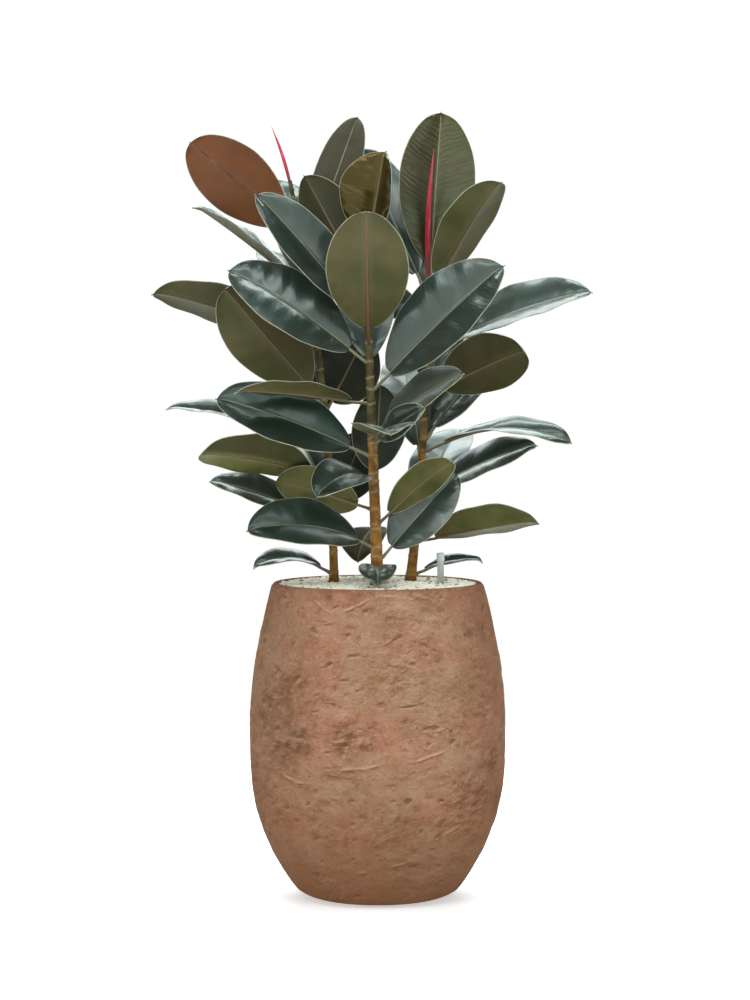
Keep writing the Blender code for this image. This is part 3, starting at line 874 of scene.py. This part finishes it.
# Scorched and roughened patches: degrees from the front towards +X, height, radius, strength
PATCHES = (
    (-42, 0.320, 0.032, 0.85), (-36, 0.250, 0.022, 1.0), (-46, 0.232, 0.028, 1.0), (-16, 0.246, 0.018, 0.8),
    (-62, 0.276, 0.018, 0.9), (-46, 0.285, 0.060, 0.55), (-5, 0.250, 0.012, 0.5), (-27, 0.452, 0.006, 0.9),
    (-76, 0.405, 0.020, 0.5),
    (61, 0.213, 0.022, 0.9), (54, 0.160, 0.028, 0.6), (50, 0.395, 0.009, 0.8), (62, 0.400, 0.016, 0.7),
    (34, 0.262, 0.007, 0.5), (76, 0.150, 0.030, 0.5), (-78, 0.190, 0.030, 0.4), (-60, 0.185, 0.008, 0.5),
    (130, 0.260, 0.034, 0.8), (175, 0.345, 0.024, 0.6), (215, 0.205, 0.036, 0.8), (250, 0.375, 0.024, 0.6),
    (160, 0.145, 0.024, 0.6), (100, 0.125, 0.024, 0.5), (195, 0.270, 0.012, 0.7), (118, 0.395, 0.014, 0.6),
)
# Trowel marks, raised or scored: degrees, height, half length in degrees, slope, width, relief
STROKES = (
    (-1, 0.061, 11, 0.35, 0.0022, 0.0017), (10, 0.070, 10, 0.45, 0.0018, 0.0014),
    (-29, 0.434, 6, -0.8, 0.0016, 0.0011), (-11, 0.437, 6, 0.75, 0.0017, 0.0012),
    (8, 0.353, 5, -0.35, 0.0014, -0.0009), (25, 0.378, 4, -0.6, 0.0012, -0.0010),
    (-24, 0.353, 3, 0.25, 0.0020, -0.0012), (14, 0.297, 6, 0.1, 0.0012, -0.0008),
    (48, 0.395, 1, 0.0, 0.0110, -0.0009), (-40, 0.190, 9, -0.5, 0.0018, 0.0009),
    (-46, 0.146, 1.4, 0.0, 0.0024, -0.0022), (30, 0.163, 1.0, 0.0, 0.0019, -0.0022),
    (-38, 0.118, 1.2, 0.0, 0.0019, -0.0018), (40, 0.120, 8, 0.9, 0.0020, 0.0009),
    (22, 0.225, 9, 0.6, 0.0018, 0.0008), (-8, 0.212, 10, 0.3, 0.0020, 0.0008),
    (140, 0.305, 9, 0.20, 0.0020, 0.0012), (200, 0.115, 10, -0.10, 0.0020, 0.0012),
    (230, 0.335, 7, 0.25, 0.0018, 0.0010), (165, 0.220, 8, 0.5, 0.0018, -0.0010),
    (110, 0.070, 9, 0.4, 0.0020, 0.0013), (255, 0.080, 9, -0.4, 0.0020, 0.0013),
)
STROKE_RISE = 0.012
STROKE_BOW = 0.003
STROKE_WANDER = 0.0022

# Depths of the clay's relief
SWELLS = 0.0010
DRAG = 0.00080
CREASE = 0.0003
CRUMBS = (0.00012, 0.0011)
PIT = 0.0012


def apart(a, b):
    """The angle from b to a, in degrees from -180 to 180."""
    return (a - b + 180) % 360 - 180


def scorching(degrees, height, radius, spot):
    """How scorched the clay is at a place."""
    scorch = 0.0
    for centre, level, reach, strength in PATCHES:
        way = math.hypot(math.radians(apart(degrees, centre)) * radius, height - level)
        if way < 2.2 * reach:
            scorch = max(scorch, strength * bell(way, reach))
    return scorch * (0.45 + 1.2 * abs(noise.noise(spot * 75)))


def trowelling(degrees, height, spot):
    """Relief of the trowel marks at a place, the painted highlight on their ridges, and the painted shade
    in their scores.
    """
    relief = light = dark = 0.0
    for centre, level, half, slope, width, high in STROKES:
        run = apart(degrees, centre) / half
        if abs(run) < 1.3:
            bend = level + slope * STROKE_RISE * run + STROKE_BOW * run * run
            bend += STROKE_WANDER * noise.noise(spot * 45)
            worn = smooth(-0.35, 0.25, noise.noise(spot * 70)) * smooth(1.25, 0.5, abs(run))
            ridge = bell(height - bend, width) * worn
            relief += high * ridge
            light = max(light, ridge if high > 0 else 0)
            dark = max(dark, 0.8 * ridge if high < 0 else 0)
    return relief, light, dark


def clay(degrees, height, radius):
    """Relief of the planter's outside at a place, its scorching with painted shade in its scores and pits,
    its raggedness, and painted highlights on its ridges and creases.
    """
    turn = math.radians(degrees)
    spot = Vector((math.sin(turn) * radius, -math.cos(turn) * radius, height))
    bent = spot + 0.020 * noise.noise_vector(spot * 11)
    slanted = Vector((bent.x * 24, bent.y * 24, (bent.z + 0.30 * bent.x) * 46))
    zone = 0.35 + 0.85 * smooth(-0.25, 0.35, noise.noise(spot * 13 + Vector((2, 8, 4))))
    crease = smooth(0.97, 1.0, 1 - abs(noise.noise(slanted * 0.8))) * zone
    scorch = scorching(degrees, height, radius, spot)
    ragged = smooth(0.0, 0.5, 0.8 * noise.noise(spot * 12 + Vector((7, 1, 3))) + scorch - 0.08)
    pit = smooth(0.50, 0.66, noise.noise(spot * 88 + Vector((3, 9, 1))))
    relief = SWELLS * noise.fractal(spot * 8, 0.7, 2.0, 3)
    relief += DRAG * zone * noise.fractal(slanted, 0.75, 2.2, 4) + CREASE * crease
    relief += noise.fractal(spot * 55, 0.75, 2.1, 3) * (CRUMBS[0] + CRUMBS[1] * ragged)
    relief -= PIT * pit * (0.4 + 0.6 * ragged)
    marks, light, dark = trowelling(degrees, height, spot)
    # The second number carries painted shade in scores and pits besides the scorching; the last is a
    # painted highlight on ridges and creases
    return relief + marks, min(max(scorch, dark, 0.5 * pit), 1), ragged, max(0.2 * crease, light)


def pot_material():
    """Rough trowelled clay: reddish brown, with tan and scorched patches, and painted light and shade on
    its relief, towards its bottom and at its sides.
    """
    graph = Graph("clay_fine", (0.36, 0.20, 0.12), 0.90, Specular_IOR_Level=0.04)
    names = ("scorch", "ragged", "lit", "tilt", "aside", "level")
    scorch, ragged, lit, tilt, aside, level = (graph.attribute(name) for name in names)
    broad = graph.noise(graph.place((1, 1, 1.3)), 8.0, 4.0)
    streak = graph.noise(graph.place((1, 1, 1.5)), 60.0, 6.0, 0.7)
    speck = graph.noise(graph.place((1, 1, 1.2)), 260.0, 3.0, 0.6)
    cloud = graph.noise(graph.place((1, 1, 1.3)), 19.0, 5.0, 0.65)
    colour = graph.mix(graph.between(broad, 0.42, 0.58), (0.362, 0.172, 0.106), (0.335, 0.194, 0.118))
    colour = graph.layered(colour, (
        (cloud, 0.50, 0.64, 0.60, (0.240, 0.106, 0.051)),
        (cloud, 0.46, 0.34, 0.45, (0.455, 0.270, 0.186)),
        (streak, 0.54, 0.66, 0.65, (0.200, 0.088, 0.042)),
        (streak, 0.45, 0.34, 0.45, (0.475, 0.285, 0.198)),
        (speck, 0.58, 0.72, 0.55, (0.560, 0.340, 0.225)),
        (speck, 0.42, 0.28, 0.65, (0.175, 0.078, 0.036)),
    ))
    uneven = graph.scaled(graph.between(streak, 0.35, 0.65), 0.6, 1.2)
    # Scorched patches, and painted shade in the scored lines and pits
    colour = graph.mix(graph.maths("MULTIPLY", scorch, uneven), colour, (0.105, 0.050, 0.020))
    # Painted highlights on raised ridges and creases
    colour = graph.mix(graph.maths("MULTIPLY", lit, 0.55), colour, (0.600, 0.375, 0.250))
    colour = graph.layered(colour, (
        # Painted light on slopes that face up and to the left, painted shade on slopes that face down
        (tilt, 0.02, 0.18, 0.45, (0.560, 0.350, 0.245)),
        (tilt, -0.02, -0.16, 0.65, (0.140, 0.060, 0.026)),
        # Painted shade: the clay darker towards the bottom
        (level, 0.23, 0.0, 0.80, (0.150, 0.062, 0.024)),
        # Painted shade: the clay darker at its left and right sides, as seen from the front
        (aside, 0.55, 1.0, 0.45, (0.150, 0.066, 0.028)),
    ))
    rough = graph.maths("MULTIPLY", graph.noise(graph.place(), 520.0), graph.scaled(ragged, 0.7, 1.2))
    coarse = graph.maths("ADD", speck, graph.maths("MULTIPLY", streak, 2.0))
    return graph.finish(colour, graph.maths("ADD", rough, coarse), 0.0016)


def pot_profile():
    """Points of the planter's outline, from the middle of its underside to its inner wall."""
    line = [(0.0, 0.0), (pot_radius(0) * 0.5, 0.0), (pot_radius(0), 0.0)]
    for step in range(1, FOOT_ROWS):
        height = FOOT_ROUND_HEIGHT * (1 - math.cos(math.pi / 2 * step / FOOT_ROWS))
        line.append((pot_radius(height), height))
    shoulder = POT_HEIGHT - LIP_RADIUS
    line += [(pot_radius(height), height) for height in spaced(FOOT_ROUND_HEIGHT, shoulder, POT_ROWS)]
    middle = pot_radius(POT_HEIGHT) - LIP_RADIUS
    for angle in range(LIP_STEP, 180, LIP_STEP):
        turn = math.radians(angle)
        line.append((middle + LIP_RADIUS * math.cos(turn), POT_HEIGHT - LIP_RADIUS * (1 - math.sin(turn))))
    inner = spaced(shoulder, GRAVEL_TOP - INNER_DEPTH, INNER_ROWS)
    return line + [(pot_radius(height) - POT_WALL, height) for height in inner]


def relief_lighting(reliefs):
    """How far the relief faces up and to the left at each point, for painted light on the side of each
    ridge that faces up and painted shade on the side that faces down.
    """
    found = []
    for i, relief in enumerate(reliefs):
        above = reliefs[min(i + POT_COLUMNS, len(reliefs) - 1)]
        column = i % POT_COLUMNS
        beside = reliefs[i - column + (column + 1) % POT_COLUMNS]
        found.append((relief - above) / ROW_STEP + 0.5 * (beside - relief) / COLUMN_STEP)
    return found


def make_pot():
    """The planter with its trowelled relief, which leaves out its underside and fades inside."""
    profile = pot_profile()
    outside = 2 + FOOT_ROWS + POT_ROWS
    points, reliefs = [], []
    numbers = {name: [] for name in ("scorch", "ragged", "lit", "level", "aside")}
    for i, (radius, height) in enumerate(profile):
        fade = smooth(0.002, 0.016, height) * (1 if i < outside else INNER_RELIEF)
        for j in range(POT_COLUMNS):
            degrees = 360 * j / POT_COLUMNS
            relief, scorch, ragged, lit = clay(degrees, height, radius) if i > 2 else (0, 0, 0, 0)
            far = radius + relief * fade
            turn = math.radians(degrees)
            points.append((math.sin(turn) * far, -math.cos(turn) * far, height))
            reliefs.append(relief)
            # The last number says how far a point lies towards the left or right side, for painted shade at
            # the sides
            found = (scorch, ragged, lit, height, abs(math.sin(turn)))
            for values, value in zip(numbers.values(), found):
                values.append(value)
    # Slopes of the relief, for painted light and painted shade on the clay
    numbers["tilt"] = relief_lighting(reliefs)
    faces = grid_faces(len(profile), POT_COLUMNS, closed=True)
    thing = mesh_object("fine_pot", points, faces, [pot_material()], numbers=numbers)
    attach(thing, BODY)
    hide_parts("pot")


# Colours of the pebbles, and the share of them that has been reached with each
PEBBLE_COLOURS = (
    (1.0, 0.96, 0.85), (1.0, 0.94, 0.80), (0.92, 0.86, 0.73), (1.0, 0.88, 0.72), (0.36, 0.33, 0.27),
)
PEBBLE_SHARES = (0.40, 0.66, 0.80, 0.93, 1.0)


def ball():
    """The 42 points of a ball, and its faces."""
    shape = bmesh.new()
    bmesh.ops.create_icosphere(shape, subdivisions=2, radius=1)
    points = [v.co.copy() for v in shape.verts]
    faces = [tuple(v.index for v in f.verts) for f in shape.faces]
    shape.free()
    return points, faces


def room_round(x, y):
    """How far a place on the gravel is from the nearest stem or the gauge."""
    room = math.hypot(x - GAUGE_PLACE[0], y - GAUGE_PLACE[1]) - GAUGE_RADIUS
    for form in STEMS.values():
        room = min(room, math.hypot(x - form.foot[0], y - form.foot[1]) - 1.3 * form.foot_radius)
    return room


def pebble_points(unit, flat, size, spin, seed):
    """A ball's points, made into one uneven pebble."""
    points = []
    for p in unit:
        swell = 1 + PEBBLE_UNEVENNESS * noise.noise(p * 1.3 + seed)
        q = Vector((p.x * flat[0], p.y * flat[1], p.z * flat[2])) * size * swell
        turned = (q.x * math.cos(spin) - q.y * math.sin(spin), q.x * math.sin(spin) + q.y * math.cos(spin))
        points.append((*turned, q.z))
    return points


def make_gravel():
    """Loose pebbles over the gravel's solid."""
    draw = random.Random(7)
    unit, unit_faces = ball()
    edge = pot_radius(GRAVEL_TOP) - POT_WALL - PEBBLE_MARGIN
    points, faces, slots = [], [], []
    for _ in range(PEBBLE_COUNT):
        reach = edge * math.sqrt(draw.random())
        turn = draw.uniform(0, math.tau)
        x, y = reach * math.cos(turn), reach * math.sin(turn)
        size = draw.uniform(*PEBBLE_RADII) * draw.uniform(0.8, 1.0)
        flat = [draw.uniform(0.75, 1.15), draw.uniform(0.75, 1.15), draw.uniform(0.5, 0.8)]
        spin = draw.uniform(0, math.tau)
        kind = draw.random()
        seed = Vector([draw.uniform(0, 50) for _ in range(3)])
        if room_round(x, y) < size:
            continue
        level = GRAVEL_TOP - PEBBLE_SUNK + draw.uniform(0.0, PEBBLE_RISE)
        first = len(points)
        points += [(x + a, y + b, level + c) for a, b, c in pebble_points(unit, flat, size, spin, seed)]
        faces += [tuple(first + k for k in one) for one in unit_faces]
        slot = next(i for i, share in enumerate(PEBBLE_SHARES) if kind <= share)
        slots += [slot] * len(unit_faces)
    finishes = [Graph(f"pebble_{i}", colour, 0.72).material for i, colour in enumerate(PEBBLE_COLOURS)]
    thing = mesh_object("fine_gravel", points, faces, finishes, slots)
    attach(thing, BODY)


def make_gauge():
    """The water gauge: a milky tube with a thicker cap."""
    top = STEM_FOOT + GAUGE_HEIGHT
    neck = top - GAUGE_CAP_HEIGHT
    line = [(GAUGE_RADIUS, STEM_FOOT - 0.004), (GAUGE_RADIUS, neck), (GAUGE_RADIUS + 0.0003, neck + 0.0003)]
    line += [(GAUGE_CAP_RADIUS, neck + 0.0010), (GAUGE_CAP_RADIUS, top - 0.0012)]
    line += [(GAUGE_CAP_RADIUS - 0.0005, top - 0.0003), (GAUGE_CAP_RADIUS - 0.0014, top)]
    line += [(GAUGE_CAP_RADIUS - 0.0022, top - 0.0004), (0.0001, top - 0.0004)]
    x, y = GAUGE_PLACE
    points = []
    for radius, height in line:
        points += [(x + radius * math.cos(a), y + radius * math.sin(a), height) for a in turns(GAUGE_SIDES)]
    milky = Graph("gauge_fine", (0.66, 0.70, 0.66), 0.30, Transmission_Weight=0.25).material
    faces = grid_faces(len(line), GAUGE_SIDES, closed=True)
    faces.append(tuple(reversed(range(GAUGE_SIDES))))
    thing = mesh_object("fine_gauge", points, faces, [milky])
    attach(thing, BODY)
    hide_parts("water_gauge")


def dress_solids():
    """The two solids that stay: the soil, and the gravel's bed under the pebbles."""
    bed = Graph("gravel_bed", (0.42, 0.41, 0.36), 0.85)
    fine = bed.noise(bed.place(), 330.0)
    pale = bed.mix(bed.between(fine, 0.40, 0.60), (0.90, 0.84, 0.72), (0.50, 0.46, 0.37))
    bed.finish(pale, fine, 0.002)
    soil = plain_material("soil_fine", (0.045, 0.030, 0.020), (0.020, 0.014, 0.010), 0.95, 120.0)
    for name, one in (("gravel", bed.material), ("soil", soil)):
        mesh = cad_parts[name].data
        mesh.materials.clear()
        mesh.materials.append(one)


def area_light(name, place, aim, size, watts, colour):
    """A soft box that looks at a point."""
    lamp = bpy.data.lights.new(name, "AREA")
    lamp.shape = "RECTANGLE"
    lamp.size, lamp.size_y = size
    lamp.energy = watts
    lamp.color = colour
    thing = in_scene(name, lamp)
    thing.location = place
    way = Vector(aim) - Vector(place)
    thing.rotation_euler = way.to_track_quat("-Z", "Y").to_euler()


def make_world():
    """A studio that is white below and round the horizon, and dark overhead."""
    world = bpy.data.worlds.new("studio")
    bpy.context.scene.world = world
    world.use_nodes = True
    tree = world.node_tree
    ground = tree.nodes["Background"]
    place = tree.nodes.new("ShaderNodeTexCoord")
    split = tree.nodes.new("ShaderNodeSeparateXYZ")
    ramp = tree.nodes.new("ShaderNodeValToRGB")
    tree.links.new(place.outputs["Generated"], split.inputs["Vector"])
    tree.links.new(split.outputs["Z"], ramp.inputs["Fac"])
    tree.links.new(ramp.outputs["Color"], ground.inputs["Color"])
    stops = ramp.color_ramp.elements
    stops[0].position, stops[0].color = 0.09, (1.0, 1.0, 1.0, 1)
    stops[1].position, stops[1].color = 1.0, (0.07, 0.09, 0.10, 1)
    for position, colour in ((0.20, (0.30, 0.32, 0.33, 1)), (0.45, (0.12, 0.14, 0.15, 1))):
        stops.new(position).color = colour
    ground.inputs["Strength"].default_value = 1.03


def make_floor():
    """A pale round floor that glows more the further out it goes, so that it meets the white studio."""
    graph = Graph("floor", (0.86, 0.86, 0.86), 0.9, Specular_IOR_Level=0.0, Emission_Color=WHITE)
    length = graph.node("VectorMath")
    length.operation = "LENGTH"
    graph.give(length.inputs[0], graph.place())
    out = graph.between(length.outputs["Value"], 0.3, FLOOR_REACH)
    graph.feed(graph.shader, Emission_Strength=graph.scaled(out, 0.50, 0.97))
    corners = [(FLOOR_REACH * math.cos(a), FLOOR_REACH * math.sin(a), 0) for a in turns(FLOOR_SIDES)]
    thing = mesh_object("floor", corners, [tuple(range(FLOOR_SIDES))], [graph.material])


def make_lights():
    """Cool soft strips overhead with dark gaps between them, a key light and a fill."""
    for row in LIGHTS:
        area_light(*row)


def make_camera():
    """The photograph's view."""
    camera = bpy.data.cameras.new("camera")
    camera.lens = CAMERA_LENS
    camera.sensor_width = CAMERA_SENSOR
    thing = in_scene("camera", camera)
    thing.location = CAMERA_PLACE
    thing.rotation_euler = (math.radians(90 - CAMERA_DOWN), 0, 0)
    bpy.context.scene.camera = thing


make_camera()
make_floor()
make_lights()
make_world()
make_pot()
make_gravel()
make_gauge()
dress_solids()
rows = named_leaves()
bark = bark_material()
for stem in STEMS:
    make_stem(stem, [row.height for row in rows if row.stem == stem], bark)
red = sheath_material()
for stem in SHEATHS:
    make_sheath(stem, red)
for index, row in enumerate(rows):
    make_leaf(row, index)

bpy.context.scene.view_settings.view_transform = "Standard"
